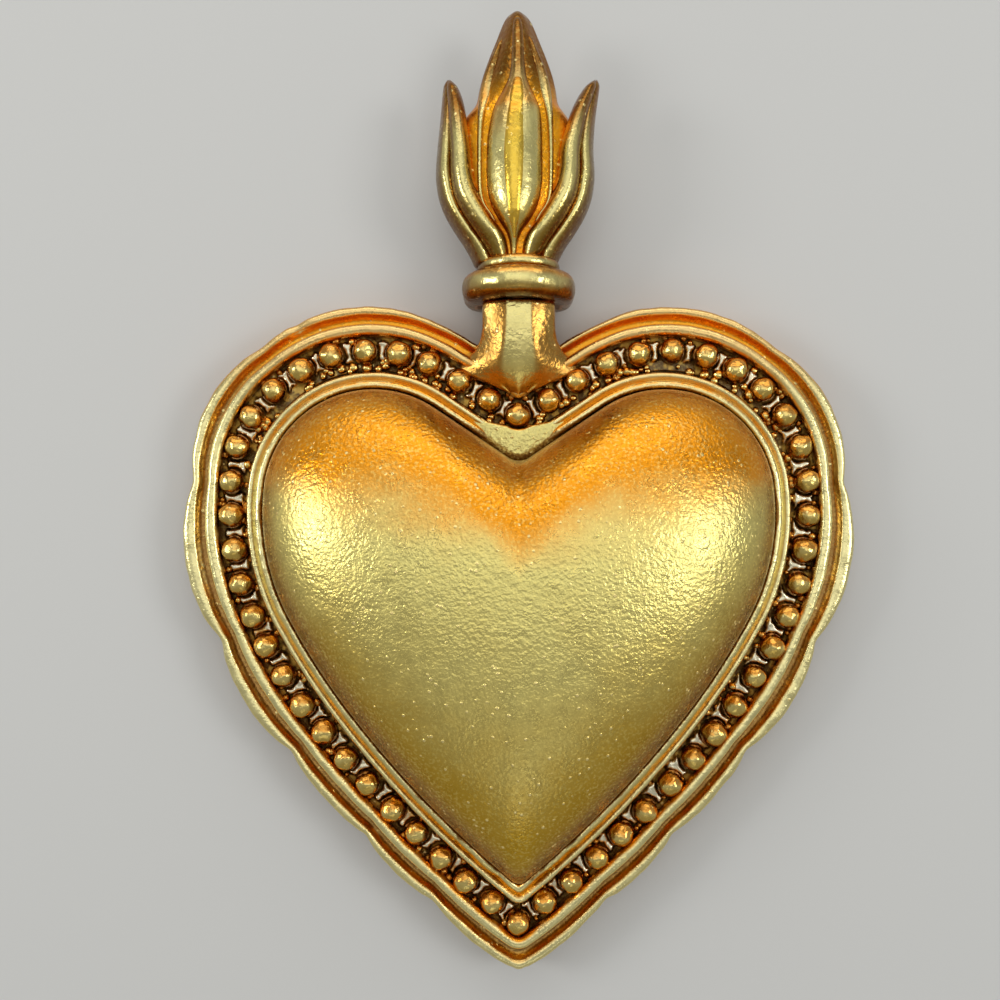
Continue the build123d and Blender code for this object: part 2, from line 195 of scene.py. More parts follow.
def beside(line, spot, reach, tip_round=0.4, cleft_round=0.8):
    """The point at a reach outside a heart line, in mm, with the tip and the cleft rounded."""
    run, share = spot.run, spot.share
    centre, radius, heading, sweep = line["runs"][0]
    radius += reach
    tip_y = centre.y - math.sqrt((radius - tip_round) ** 2 - centre.x ** 2)
    first_heading = math.degrees(math.atan2(-centre.x, centre.y - tip_y))
    if run == "tip":
        point = Vector((0, tip_y)) + tip_round * way_out(share * first_heading)
    elif run == 0:
        point = centre + radius * way_out(first_heading + share * (heading + sweep - first_heading))
    elif run in ("straight", "cleft"):
        place, heading = line["last"]
        place = place + reach * way_out(heading)
        along = Vector((math.cos(math.radians(heading)), math.sin(math.radians(heading))))
        tilt = math.radians(heading - 180)
        if run == "straight":
            end = place + along * ((cleft_round * math.sin(tilt) - place.x) / along.x)
            point = place.lerp(end, share)
        else:
            valley = place - along * (place.x / along.x)
            middle = valley + Vector((0, cleft_round / math.cos(tilt)))
            point = middle - cleft_round * way_out(heading + share * (180 - heading))
    else:
        centre, radius, heading, sweep = line["runs"][run]
        point = centre + (radius + reach) * way_out(heading + share * sweep)
    return Vector((spot.side * point.x, point.y))


for line in (bead_line, dome_line):
    lay_out(line)
print("half of the bead line is", round(bead_line["length"], 2), "mm long")

# %% [markdown]
# Most pieces here are a section drawn along a path, as a caster's wax strip is.
# A flat grid is made first, one row for each spot of the path, and every row is bent into the section's ring.
# Where the ring or the path comes back to its start, the doubled points are merged.
# A subdivision then rounds the piece, and is applied at once so that later steps can measure it.

# %% Drawing a section along a path
merge_distance = 0.002 * mm
pieces = []


def draw_along(spots, ring_at, point=None, flat_ends=0):
    """Bends a grid into a closed ring of points at every spot of a path.
    The last ring can be drawn together to a point, and the first ring, or both, can be closed flat."""
    rings = [ring_at(spot) for spot in spots]
    wide = len(rings[0])
    shape = bmesh.new()
    bmesh.ops.create_grid(shape, x_segments=wide, y_segments=len(rings) - 1, size=1)
    shape.verts.ensure_lookup_table()
    rows = [shape.verts[n * (wide + 1):(n + 1) * (wide + 1)] for n in range(len(rings))]
    for row, ring in zip(rows, rings):
        for vert, place in zip(row, ring + ring[:1]):
            vert.co = place * mm
    bmesh.ops.remove_doubles(shape, verts=shape.verts, dist=merge_distance)
    ends = [[vert for vert in row if vert.is_valid] for row in (rows[0], rows[-1])]
    if point:
        bmesh.ops.pointmerge(shape, verts=ends[1], merge_co=Vector(point) * mm)
    for end in ends[:flat_ends]:
        bmesh.ops.contextual_create(shape, geom=end)
    return shape


def keep_piece(name, shape, nodes, slot, smooth_levels=0):
    """Turns a shape out, makes it an object that rides on the charm, and hides the nodes it stands for."""
    bmesh.ops.remove_doubles(shape, verts=shape.verts, dist=merge_distance)
    bmesh.ops.recalc_face_normals(shape, faces=shape.faces)
    for face in shape.faces:
        face.smooth = True
    mesh = bpy.data.meshes.new(name)
    shape.to_mesh(mesh)
    shape.free()
    piece = bpy.data.objects.new(name, mesh)
    bpy.context.scene.collection.objects.link(piece)
    if smooth_levels:
        soften = piece.modifiers.new("soften", "SUBSURF")
        soften.levels = soften.render_levels = smooth_levels
        rounded = piece.evaluated_get(bpy.context.evaluated_depsgraph_get())
        piece.data = bpy.data.meshes.new_from_object(rounded)
        piece.modifiers.clear()
        bpy.data.meshes.remove(mesh)
        piece.data.name = name
    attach(piece, "charm")
    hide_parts(*nodes)
    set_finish(piece, slot)
    pieces.append(piece)
    print(name, "faces:", len(piece.data.polygons))


def wobble(point, amount, size):
    """A small hand-made unevenness, the same every time, of about this size in mm."""
    return amount * noise.noise(Vector((point.x, point.y, 7.0)) / size)


def clamp(value):
    return min(1, max(0, value))


# %% [markdown]
# The rim is the outermost member: a thin wall that rests on the table, with a rounded lip cut into lobes.
# The lip is wide in the middle of a lobe and thin at a notch, and a brown groove runs inside it.
# Its section is drawn along the bead line, and only its outer points follow the lobes.

# %% Scalloped rim
# the station of each notch, the lip's reach there, how far each lobe swells, and x, y and size of each dent
notches = (0.0, 9.9, 18.5, 29.2, 41.7, 56.8, 69.3, 84.7)
notch_reaches = (4.45, 4.35, 4.35, 4.35, 4.35, 4.35, 4.35, 4.2)
lobe_rises = (0.6, 0.7, 0.65, 1.1, 1.4, 0.8, 0.48)
lip_dents = ((-23.5, 18.5, 0.9), (14.1, 19.5, 0.8), (27.4, 19.2, 0.5), (-33.2, 2.0, 0.5), (31.0, -14.5, 0.5))
dent_in, dent_down = 0.30, 0.40
usual_notch, groove_reach, ridge_reach = 4.35, 3.52, 2.9
lip_top, groove_floor, moulding_foot, rim_under = 5.0, 4.10, 4.1, 3.2


def lobe_reach(station):
    """How far the lip reaches outside the bead line at a station."""
    for n, rise in enumerate(lobe_rises):
        if station < notches[n + 1]:
            share = (station - notches[n]) / (notches[n + 1] - notches[n])
            base = notch_reaches[n] + share * (notch_reaches[n + 1] - notch_reaches[n])
            return base + rise * (1 - (2 * share - 1) ** 2) ** 0.8
    return notch_reaches[-1]


def tip_round_at(reach):
    """The rounding of the tip: growing out to the ridge, and sharper again at the lip."""
    if reach < ridge_reach:
        return max(0.4, 0.75 * reach)
    return max(0.9, 2.2 - 0.8 * (reach - ridge_reach))


def moulding_ring(line, section_at):
    """Makes a ring function for draw_along from a (reach, height) section that may change along it."""
    def ring(spot):
        points = []
        for reach, height in section_at(spot):
            point = beside(line, spot, reach, tip_round_at(reach))
            points.append(Vector((point.x, point.y, height)))
        return points
    return ring


def rim_section(spot):
    lobe = lobe_reach(spot.station)
    near = beside(bead_line, spot, lobe, tip_round_at(lobe))
    dent = max([0] + [1 - (near - Vector((x, y))).length / size for x, y, size in lip_dents])
    outer = lobe + (wobble(near, 0.10, 1.6) + wobble(near, 0.06, 0.6) - dent_in * dent)
    inner = groove_reach + 0.45 * (lobe - usual_notch) + wobble(near, 0.05, 0.9)
    top = lip_top + wobble(near, 0.08, 1.1) - dent_down * dent
    return (
        (outer - 0.04, 0.0), (outer, 0.25), (outer, 4.0), (outer - 0.05, 4.5), (outer - 0.22, top - 0.12),
        ((outer + inner) / 2, top), (inner + 0.14, top - 0.08), (inner + 0.02, top - 0.3),
        (inner - 0.06, 4.60), ((inner + 2.7) / 2, groove_floor), (2.6, 4.45),
        (0.8, moulding_foot), (-1.6, moulding_foot), (-1.6, rim_under),
        (3.5, rim_under), (3.55, 3.0), (3.55, 0.2), (3.6, 0.0),
    )


rim_shape = draw_along(heart_spots(bead_line, 0.55), moulding_ring(bead_line, rim_section))
keep_piece("rim", rim_shape, ["scalloped_rim"], "border_gold", 1)

# %% [markdown]
# Inside the groove stands the ridge, a plump rounded moulding that sways a little with the lobes.
# Inside the beads, two thin ridges hold the dome as a bezel. Both sink where they run into the cleft,
# and the inner one is worn and broken towards the tip.

# %% Ridge and bezel rings
ridge_top, bezel_outside_top, bezel_inside_top = 6.0, 6.2, 6.45
cleft_run, broken_run = 5, 13


def ridge_section(spot):
    near = beside(bead_line, spot, 2.3)
    sway = 0.30 * (lobe_reach(spot.station) - usual_notch) + wobble(near, 0.05, 1.4)
    top = ridge_top + wobble(near, 0.06, 0.9)
    outer, inner = 2.62 + sway, 1.28 + 0.5 * sway
    return (
        (outer + 0.03, moulding_foot), (outer, 4.85), (outer - 0.08, top - 0.45), (outer - 0.28, top - 0.1),
        (outer - 0.6, top), (inner + 0.42, top - 0.06), (inner + 0.14, top - 0.34), (inner + 0.02, top - 0.8),
        (inner - 0.02, moulding_foot),
    )


def from_cleft(spot):
    """How far along the dome line a spot lies from the cleft, in mm."""
    return dome_line["length"] - spot.station


def near_cleft(spot):
    return max(0, 1 - from_cleft(spot) / cleft_run)


def outer_ring_section(spot):
    top = bezel_outside_top + wobble(beside(dome_line, spot, 1.1), 0.05, 0.8) - 0.45 * near_cleft(spot)
    return (
        (1.74, moulding_foot), (1.72, top - 0.6), (1.62, top - 0.18), (1.34, top), (1.06, top - 0.12),
        (0.80, top - 0.32), (0.55, top - 0.6), (0.50, moulding_foot),
    )


def inner_ring_section(spot):
    near = beside(dome_line, spot, 0.4)
    broken = max(0, 1 - spot.station / broken_run) * (0.55 + wobble(near, 0.9, 1.3))
    top = bezel_inside_top + wobble(near, 0.07, 0.6) - 0.7 * near_cleft(spot) - 0.7 * max(0, broken)
    return (
        (1.10, moulding_foot), (1.05, top - 0.75), (0.85, top - 0.45), (0.62, top - 0.14), (0.30, top),
        (0.00, top - 0.1), (-0.18, top - 0.35), (-0.22, moulding_foot),
    )


for name, line, step, section, node in (
    ("ridge", bead_line, 0.5, ridge_section, "ridge_moulding"),
    ("bezel_outside", dome_line, 0.45, outer_ring_section, "bezel_outer_ring"),
    ("bezel_inside", dome_line, 0.45, inner_ring_section, "bezel_inner_ring"),
):
    ring_shape = draw_along(heart_spots(line, step), moulding_ring(line, section))
    keep_piece(name, ring_shape, [node], "border_gold", 1)

# %% [markdown]
# Where both bezel ridges meet under the cleft bead they run together into a pale flat V.
# It is a flat strip round the cleft, as wide as both ridges, that sinks between them at its two ends.

# %% Cleft land
land_length, land_top, land_foot = 6.5, 6.32, 4.2


def land_ring(spot):
    away = min(1, from_cleft(spot) / land_length)
    near = beside(dome_line, spot, 0.8)
    top = land_top + wobble(near, 0.06, 0.7) - 0.6 * away ** 2
    wide = 1.78 + 0.75 * max(0, 1 - away / 0.5)
    section = (
        (wide, land_foot), (wide - 0.02, top - 0.28), (wide - 0.16, top - 0.07), (wide - 0.5, top),
        (0.7, top + 0.02), (0.1, top), (-0.22, top - 0.08), (-0.36, top - 0.3), (-0.4, land_foot),
    )
    return [Vector((*beside(dome_line, spot, reach, 0.4, 2.2), height)) for reach, height in section]


land_spots = [spot for spot in heart_spots(dome_line, 0.3) if from_cleft(spot) < land_length]
land_shape = draw_along(land_spots, land_ring, flat_ends=2)
keep_piece("cleft_flat", land_shape, ["cleft_land"], "border_gold", 1)

# %% [markdown]
# The beads sit in a channel whose floor shows between them as pale bow-ties with dark edges.
# The floor is one strip along the bead line, pressed down round every bead and along both mouldings.
# The beads drift a little off the line, outwards low down and inwards on the lobes, and less so on the left.

# %% Bead places and channel floor
bead_count_half = 27
drift_shares, drifts = (0, 0.15, 0.56, 0.68, 0.86, 0.96, 1), (0, 0.3, 0.35, 0, -0.25, -0.25, 0)
left_drift = 0.15
tray_reaches = [2.2 - 0.16 * n for n in range(28)]
tray_low, tray_under, bow_tie_rise = 4.45, 4.0, 0.62
dark_round_bead, bow_tie_half = 1.42, 1.05

fine_spots = heart_spots(bead_line, 0.05)
bead_places = []
for n in range(bead_count_half + 1):
    share = n / bead_count_half
    station = bead_line["length"] * share
    spot = min(fine_spots, key=lambda s: abs(s.station - station) + (0 if s.side == 1 else 1))
    drift = float(np.interp(share, drift_shares, drifts))
    bead_places.append(beside(bead_line, spot, drift, 0.01, 0.01))
    if n not in (0, bead_count_half):
        left = beside(bead_line, spot, min(drift, left_drift), 0.01, 0.01)
        bead_places.append(Vector((-left.x, left.y)))


def tray_ring(spot):
    middle = beside(bead_line, spot, 0, 0.4)
    close = [place for place in bead_places if (place - middle).length < 5]
    ring = []
    for reach in tray_reaches:
        point = beside(bead_line, spot, reach, tip_round_at(reach))
        from_bead = min((place - point).length for place in close)
        lump = noise.noise(Vector((point.x, point.y, 3)) / 0.5)
        flat = clamp((from_bead - dark_round_bead + 0.12 * lump) / 0.16)
        flat *= clamp((bow_tie_half - abs(reach + 0.1) + 0.3 * lump) / 0.22)
        flat = flat * flat * (3 - 2 * flat)
        ring.append(Vector((point.x, point.y, tray_low + (bow_tie_rise + 0.10 * lump) * flat)))
    for reach in (tray_reaches[-1], tray_reaches[0]):
        point = beside(bead_line, spot, reach, tip_round_at(reach))
        ring.append(Vector((point.x, point.y, tray_under)))
    return ring


keep_piece("channel_floor", draw_along(heart_spots(bead_line, 0.17), tray_ring), ["bead_tray"], "tray_gold")

# %% [markdown]
# Each bead is a ball with a flat seat. Cast beads are never quite alike, so each is swollen and lifted
# by its own small amount, from a fixed seed. Between them lie small drops of metal from a rough mould,
# and more of them fill the wide inner side of the channel on the two upper lobes.

# %% Beads
random.seed(21)
bead_radius, bead_height, seat_height = 1.37, 5.2, 4.2
bead_segments, bead_swell = 22, 0.10
drop_segments, drop_swell = 10, 0.25
drop_count, lobe_drop_count, lobe_station = 230, 90, 48
big_drop_place, big_drop_radius = Vector((2.2, 8.35)), 0.55
bead_shape = bmesh.new()
bead_mesh = bpy.data.meshes.new("bead")


def add_ball(middle, radius, segments, swell):
    """Adds one ball to the row, uneven by a share of its radius and cut flat below."""
    ball = bmesh.new()
    bmesh.ops.create_uvsphere(ball, u_segments=segments, v_segments=2 * segments // 3, radius=radius * mm)
    for vert in ball.verts:
        vert.co *= 1 + swell * noise.noise(vert.co / mm / 0.8 + 9 * middle)
    bmesh.ops.translate(ball, verts=ball.verts, vec=middle * mm)
    whole = ball.verts[:] + ball.edges[:] + ball.faces[:]
    cut = bmesh.ops.bisect_plane(ball, geom=whole, plane_co=(0, 0, seat_height * mm), plane_no=(0, 0, -1),
                                 clear_outer=True)["geom_cut"]
    bmesh.ops.edgeloop_fill(ball, edges=[part for part in cut if isinstance(part, bmesh.types.BMEdge)])
    ball.to_mesh(bead_mesh)
    ball.free()
    bead_shape.from_mesh(bead_mesh)


def about(size):
    return random.uniform(-size, size)


def clear_of_beads(place, distance):
    return min((place - bead).length for bead in bead_places) > distance


for place in bead_places:
    middle = Vector((place.x + about(0.1), place.y + about(0.1), bead_height + about(0.07)))
    add_ball(middle, bead_radius + about(0.06), bead_segments, bead_swell)
drop_places = [big_drop_place]
while len(drop_places) < drop_count:
    spot = random.choice(fine_spots)
    sides = (random.uniform(0.9, 1.4), random.uniform(-2.1, -0.9))
    place = beside(bead_line, spot, random.choice(sides), 1.0)
    if clear_of_beads(place, 1.2):
        drop_places.append(place)
for n, place in enumerate(drop_places):
    middle = Vector((*place, 4.8 + about(0.15)))
    add_ball(middle, big_drop_radius if n == 0 else random.uniform(0.25, 0.5), drop_segments, drop_swell)
lobe_drops = 0
while lobe_drops < lobe_drop_count:
    spot = random.choice(fine_spots)
    place = beside(bead_line, spot, random.uniform(-2.2, -1.2), 1.0)
    if spot.station > lobe_station and clear_of_beads(place, 1.5):
        middle = Vector((*place, 4.75 + about(0.15)))
        add_ball(middle, random.uniform(0.35, 0.62), drop_segments, drop_swell)
        lobe_drops += 1
bpy.data.meshes.remove(bead_mesh)
print("beads:", len(bead_places), "drops:", len(drop_places) + lobe_drops)
keep_piece("beads", bead_shape, ["bead_row"], "bead_gold")

# %% [markdown]
# The dome is a hollow pressed heart. Seen from above it starts as the heart line and turns into an oval
# near its highest point, so the shoulders are round and only a short valley is left under the cleft.
# It is drawn upwards level by level. The valley rises more slowly than the rest of the edge, the tip grows
# rounder, and the last ring is drawn together to a point.

# %% Dome
dome_middle, dome_foot, dome_rise = -9.0, 6.05, 10.35
oval_half_width, oval_up, oval_down = 24.0, 16.0, 26.0
valley_start, valley_span = 0.86, 0.14
edge_tip_round, top_tip_round, dome_cleft_round = 0.4, 10, 2.0
level_count, level_angle = 69, 1.3


def dome_ring(level):
    height, angle = level
    ring = []
    for spot in dome_spots:
        turn = math.pi * spot.station / dome_line["length"]
        valley = clamp((turn / math.pi - valley_start) / valley_span)
        share = max(0.0, math.cos(math.radians(angle))) ** (0.8 + 0.25 * valley ** 1.5)
        tip_round = edge_tip_round + top_tip_round * math.sqrt(1 - share)
        edge = beside(dome_line, spot, -0.25, tip_round, dome_cleft_round)
        across = share * edge.x + (1 - share) * spot.side * oval_half_width * math.sin(turn)
        oval = -math.cos(turn) * (oval_down if math.cos(turn) > 0 else oval_up)
        along = share * (edge.y - dome_middle) + (1 - share) * oval
        ring.append(Vector((share * across, dome_middle + share * along, height)))
    return ring


dome_spots = heart_spots(dome_line, 0.5)[:-1]
dome_levels = [(3.3, 0), (4.8, 0)]
for n in range(level_count):
    lift = math.sin(math.radians(level_angle * n)) ** 0.9
    dome_levels.append((dome_foot + dome_rise * lift, level_angle * n))
dome_shape = draw_along(dome_levels, dome_ring, point=(0, dome_middle, dome_foot + dome_rise))
bmesh.ops.edgeloop_fill(dome_shape, edges=[edge for edge in dome_shape.edges if edge.is_boundary])
keep_piece("dome", dome_shape, ["heart_dome"], "dome_gold")

# %% [markdown]
# The neck is a stem with a flat front facet. Its foot spreads over the ridge like a saddle and ends in
# a blunt point above the cleft bead. It is drawn downwards as an eight-sided section with softened corners,
# which grow rounder between the stem and the foot.

# %% Neck
# distance along Y, half width of the facet, front, half width, top and bottom of the side, back
neck_rows = (
    (20.5, 1.50, 8.45, 3.80, 7.2, 4.6, 2.4), (19.0, 1.50, 8.40, 3.80, 7.2, 4.6, 2.4),
    (17.8, 1.52, 8.34, 3.80, 7.0, 4.6, 2.4), (17.0, 1.56, 8.26, 3.88, 6.8, 4.6, 2.4),
    (16.3, 1.62, 8.17, 4.05, 6.4, 4.6, 2.6), (15.6, 1.72, 8.06, 4.45, 6.0, 4.5, 3.0),
    (14.9, 1.86, 7.94, 5.10, 5.5, 4.5, 3.4), (14.2, 1.98, 7.79, 5.90, 5.3, 4.5, 3.6),
    (13.5, 2.00, 7.60, 6.30, 5.3, 4.4, 3.8), (12.9, 1.90, 7.38, 5.60, 5.6, 4.4, 3.9),
    (12.4, 1.70, 7.14, 4.40, 5.85, 4.4, 4.0), (11.9, 1.40, 6.86, 3.20, 5.95, 4.4, 4.1),
    (11.4, 1.00, 6.54, 2.10, 5.95, 4.4, 4.2), (10.95, 0.55, 6.16, 1.15, 5.75, 4.4, 4.2),
    (10.6, 0.22, 5.70, 0.45, 5.35, 4.4, 4.2),
)
foot_to_stem = (12.5, 16.0)


def neck_ring(row):
    along, facet, front, half, side_top, side_bottom, back = row
    fullness = float(np.interp(along, foot_to_stem, (0.36, 0.58)))
    rounded = float(np.interp(along, foot_to_stem, (1.0, 0.0)))
    shoulder = (facet + 0.5 * (half - facet), side_top + fullness * (front - side_top))
    right = ((0.0, front + 0.04), (0.8 * facet, front - 0.22 * rounded),
             (facet + 0.12 + 0.2 * rounded, front - 0.12 - 0.3 * rounded), shoulder, (half, side_top),
             (half, side_bottom), (0.5 * half, back), (0.0, back))
    return [Vector((x, along, z)) for x, z in right] + [Vector((-x, along, z)) for x, z in right[-2:0:-1]]


neck_shape = draw_along(neck_rows, neck_ring, flat_ends=2)
bmesh.ops.subdivide_edges(neck_shape, edges=neck_shape.edges, cuts=1, use_grid_fill=True)
keep_piece("stem", neck_shape, ["neck"], "torch_gold", 2)

# %% [markdown]
# The collar and the cap above it are turned rings: half of a section, spun round the axis of the torch.
# The real ones were cast lying on a flat back, so below the axis the round is pressed out into straight
# sides, and every ring gets a slight unevenness.

# %% Collar and cap
torch_height, turned_steps, pin_room = 6.2, 84, 2.5
squareness, turned_wobble = 5, 0.09
collar_section = (
    (1.6, 20.1), (4.7, 20.1), (5.35, 20.28), (5.78, 20.75), (5.9, 21.4), (5.88, 22.0), (5.66, 22.6),
    (5.15, 23.0), (4.5, 23.12), (1.6, 23.12),
)
cap_section = (
    (1.6, 23.05), (3.8, 23.05), (4.16, 23.2), (4.3, 23.6), (4.24, 24.05), (4.0, 24.36), (3.6, 24.45),
    (1.6, 24.45),
)


def turned(name, node, section):
    """Spins a closed section of (radius, distance along Y) round the axis of the torch."""
    shape = bmesh.new()
    ring = [shape.verts.new(Vector((radius, along, torch_height)) * mm) for radius, along in section]
    edges = [shape.edges.new(pair) for pair in zip(ring, ring[1:] + ring[:1])]
    bmesh.ops.spin(shape, geom=ring + edges, cent=(0, 0, torch_height * mm), axis=(0, 1, 0),
                   angle=2 * math.pi, steps=turned_steps, use_merge=True)
    for vert in shape.verts:
        out = Vector((vert.co.x, 0, vert.co.z - torch_height * mm))
        if out.length < pin_room * mm:
            continue
        way = out.normalized()
        if way.z < 0:
            squarish = (abs(way.x) ** squareness + abs(way.z) ** squareness) ** (1 / squareness)
            vert.co += out * (1 / squarish - 1)
        vert.co += way * turned_wobble * mm * noise.noise(vert.co / mm / 1.5)
    keep_piece(name, shape, [node], "torch_gold", 1)


turned("collar_band", "collar_ring", collar_section)
turned("collar_top", "collar_cap", cap_section)

# %% [markdown]
# The flame is a bud of tongues: a broad core that rises to the tip, a petal with a fluted band in front,
# a thin vein on each side, and two ribs on each side that share one tip.
# Every tongue is an oval section drawn along a few given rows, with more rows blended in between.
# A crest above 1 narrows the front of the oval into a keel, and the core gets one only near its tip.

# %% Flame tongues
oval_points, rows_between, flute_pitch = 20, 5, 0.62
flame_middle, lean_start, lean_length = -0.36, 35.5, 6.5
vein_sink, above_flame = 0.1, 20


def blended(rows, count):
    """Rows with more rows between them, on a smooth curve through the given ones."""
    padded, result = [rows[0], *rows, rows[-1]], []
    for a, b, c, d in zip(padded, padded[1:], padded[2:], padded[3:]):
        for n in range(count):
            t = n / count
            result.append(tuple(0.5 * (2 * q + (r - p) * t + (2 * p - 5 * q + 4 * r - s) * t * t
                                       + (3 * q - p - 3 * r + s) * t ** 3) for p, q, r, s in zip(a, b, c, d)))
    return result + [rows[-1]]


def tongue(rows, tip, crest, flutes=0.0):
    """Draws a tongue of flame from rows of (Y, X, Z, half width, half depth) and closes both of its ends."""
    def oval(row):
        along, across, height, half_width, half_depth = row
        sharp = float(np.interp(along, *crest)) if isinstance(crest, tuple) else crest
        ring = []
        for n in range(oval_points):
            turn = 2 * math.pi * n / oval_points
            lift = math.copysign(abs(math.cos(turn)) ** sharp, math.cos(turn))
            ripple = flutes * math.sin(along * 2 * math.pi / flute_pitch) * max(0, math.cos(turn))
            front = height + half_depth * lift + ripple
            ring.append(Vector((across + half_width * math.sin(turn), along, front)))
        return ring
    return draw_along(blended(rows, rows_between), oval, point=tip, flat_ends=1)


core_rows = (
    (24.3, -0.1, 6.2, 3.9, 2.2), (25.6, -0.2, 6.2, 4.3, 2.4), (27.4, -0.3, 6.2, 5.4, 2.8),
    (29.4, -0.35, 6.2, 6.5, 3.3), (32.0, -0.36, 6.2, 7.1, 3.6), (35.0, -0.36, 6.4, 7.0, 3.4),
    (37.6, -0.3, 6.5, 6.4, 3.2), (39.2, -0.2, 6.7, 5.3, 3.0), (40.4, -0.15, 6.8, 4.35, 2.9),
    (42.0, -0.12, 6.9, 4.0, 2.8), (43.5, -0.1, 7.0, 3.6, 2.6), (45.3, -0.1, 7.0, 2.95, 2.4),
    (47.0, -0.1, 7.0, 2.25, 2.05), (48.7, -0.12, 7.0, 1.55, 1.5), (49.5, -0.15, 7.0, 1.05, 1.05),
    (49.95, -0.15, 7.0, 0.5, 0.5),
)
petal_rows = (
    (24.0, -0.5, 7.8, 0.40, 1.1), (25.6, -0.5, 8.2, 0.45, 1.2), (26.8, -0.5, 8.7, 0.80, 1.35),
    (28.0, -0.45, 9.1, 1.65, 1.75), (29.6, -0.45, 9.2, 2.5, 2.05), (31.4, -0.45, 9.2, 2.88, 2.1),
    (33.6, -0.45, 9.2, 2.92, 2.1), (36.4, -0.4, 9.1, 2.85, 2.05), (38.8, -0.25, 8.95, 2.55, 1.95),
    (40.0, -0.2, 8.85, 2.15, 1.8), (41.2, -0.15, 8.8, 1.55, 1.6), (42.3, -0.12, 8.75, 1.1, 1.45),
    (43.6, -0.1, 8.7, 0.88, 1.25), (45.5, -0.1, 8.6, 0.76, 1.0), (47.5, -0.12, 8.2, 0.66, 0.88),
    (48.9, -0.15, 7.8, 0.5, 0.68),
)
band_rows = (
    (25.8, -0.48, 9.0, 0.25, 0.4), (26.9, -0.48, 9.75, 0.32, 0.45), (28.2, -0.48, 10.5, 0.7, 0.5),
    (30.5, -0.5, 10.8, 0.95, 0.6), (34.0, -0.5, 10.9, 1.05, 0.6), (37.0, -0.42, 10.65, 1.0, 0.6),
    (39.5, -0.25, 10.35, 0.85, 0.5), (41.4, -0.15, 10.0, 0.6, 0.45), (42.8, -0.12, 9.5, 0.4, 0.4),
)
# the rows below are for one side, with X from the middle of the flame; vein rows leave out Z
vein_rows = (
    (25.2, 1.1, 0.22, 0.4), (26.8, 1.6, 0.26, 0.5), (28.4, 2.4, 0.28, 0.5),
    (30.3, 3.45, 0.28, 0.5), (34.6, 3.6, 0.28, 0.5), (38.0, 3.5, 0.34, 0.5),
    (39.8, 3.25, 0.5, 0.5), (41.4, 2.95, 0.66, 0.5), (43.5, 2.5, 0.62, 0.45),
    (45.3, 1.9, 0.45, 0.4), (46.8, 1.45, 0.28, 0.3),
)
inner_rows = (
    (23.8, 1.35, 7.0, 1.05, 1.9), (25.4, 1.9, 7.8, 1.35, 1.75), (26.8, 2.6, 8.4, 1.52, 1.7),
    (28.4, 3.75, 8.7, 1.47, 1.65), (30.1, 4.72, 8.8, 1.38, 1.65), (31.6, 5.25, 8.75, 1.24, 1.65),
    (33.2, 5.5, 8.7, 1.14, 1.65), (35.3, 5.6, 8.5, 1.08, 1.6), (37.8, 5.8, 8.2, 1.0, 1.5),
    (39.6, 5.9, 7.9, 0.9, 1.35), (41.2, 6.1, 7.5, 0.76, 1.1), (42.4, 6.35, 7.2, 0.54, 0.85),
)
outer_rows = (
    (23.8, 2.9, 6.2, 1.3, 2.3), (25.6, 3.7, 6.4, 1.4, 2.5), (27.3, 4.9, 6.6, 1.35, 2.5),
    (29.0, 5.98, 6.8, 1.28, 2.4), (30.6, 6.65, 6.85, 1.22, 2.3), (32.0, 6.95, 6.9, 1.18, 2.3),
    (33.4, 7.1, 6.9, 1.12, 2.25), (35.9, 7.0, 6.8, 1.05, 2.1), (38.3, 6.82, 6.7, 0.94, 1.8),
    (40.2, 6.72, 6.6, 0.8, 1.4), (41.8, 6.7, 6.6, 0.62, 1.0), (42.7, 6.7, 6.6, 0.46, 0.7),
)
# kind, rows, (Y, X, Z) of the tip, and crest
rib_kinds = (("inner", inner_rows, (43.3, 6.6, 6.9), 1.3), ("outer", outer_rows, (43.4, 6.7, 6.6), 1.6))


def on_side(rows, side, lean=0.0):
    """Rows moved to one side of the flame, leaning outwards above its widest place."""
    moved = []
    for along, out, *others in rows:
        out += lean * max(0, (along - lean_start) / lean_length) ** 1.3
        moved.append((along, flame_middle + side * out, *others))
    return moved


core_shape = tongue(core_rows, (-0.15, 50.1, 7.0), ((40, 44), (1.1, 2.6)))
core_reader = BVHTree.FromBMesh(core_shape)
keep_piece("core", core_shape, ["flame_core"], "torch_gold", 1)
keep_piece("petal", tongue(petal_rows, (-0.15, 49.7, 7.5), 1.2), ["flame_petal"], "torch_gold", 1)
keep_piece("fluted_band", tongue(band_rows, (-0.1, 43.6, 9.1), 1.0, 0.035), ["flame_rib"], "torch_gold", 1)
for side, name, lean in ((-1, "left", 0.2), (1, "right", 1.4)):
    for kind, rows, tip, crest in rib_kinds:
        along, across, height = on_side([tip], side, lean)[0]
        rib = tongue(on_side(rows, side, lean), (across, along, height), crest)
        keep_piece(f"{kind}_rib_{name}", rib, [f"flame_{kind}_{name}"], "torch_gold", 1)

vein_shape = bmesh.new()
for side in (-1, 1):
    seated = []
    for along, across, half_width, half_depth in on_side(vein_rows, side):
        hit = core_reader.ray_cast(Vector((across, along, above_flame)) * mm, Vector((0, 0, -1)))[0]
        seated.append((along, across, hit.z / mm - vein_sink, half_width, half_depth))
    one = tongue(seated, (seated[-1][1] * 0.8, 47.4, seated[-1][2] - vein_sink), 1.3)
    vein_mesh = bpy.data.meshes.new("vein")
    one.to_mesh(vein_mesh)
    one.free()
    vein_shape.from_mesh(vein_mesh)
    bpy.data.meshes.remove(vein_mesh)
keep_piece("veins", vein_shape, ["flame_veins"], "torch_gold", 1)

